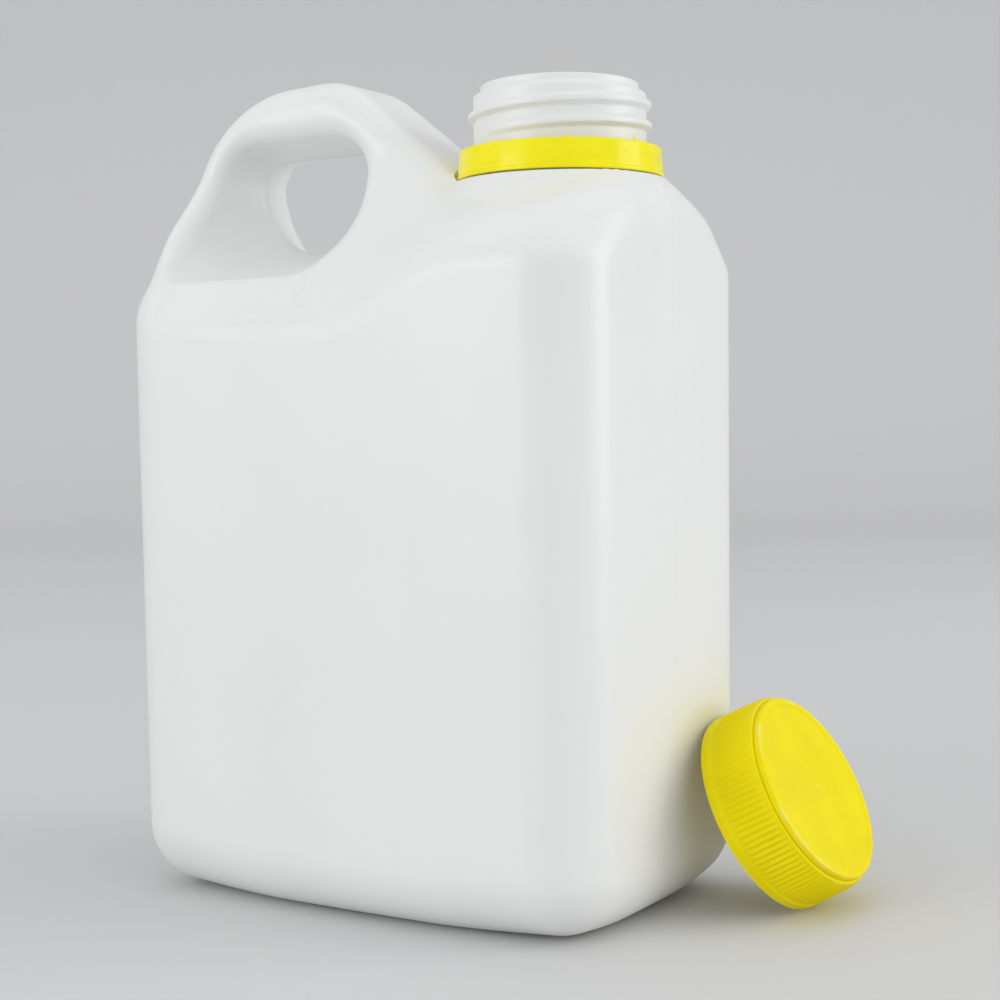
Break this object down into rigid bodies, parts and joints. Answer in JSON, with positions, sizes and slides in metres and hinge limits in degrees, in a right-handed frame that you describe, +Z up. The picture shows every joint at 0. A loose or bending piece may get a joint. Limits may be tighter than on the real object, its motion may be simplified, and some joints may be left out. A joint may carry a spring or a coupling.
{
  "type": "motor oil bottle",
  "caption": "Handled jerrycan-style bottle with an open threaded neck, a broken-off tamper ring on it, and a ribbed screw cap leaning on its side.",
  "frame": {"origin": "centre of the flat base, on the floor", "axes": "+Z up, +X along the wide face from the handle towards the neck, Y across the depth with the wide front face at -Y"},
  "size_m": [0.1474, 0.0805, 0.1739],
  "materials": {
    "white_hdpe": "smooth satin, slightly translucent white blow-moulded HDPE",
    "yellow_ring": "glossy injection-moulded yellow",
    "yellow_cap": "satin injection-moulded yellow"
  },
  "bodies": {
    "root": {"bottle": "white_hdpe", "tamper_ring": "yellow_ring", "cap": "yellow_cap"}
  },
  "joints": []
}
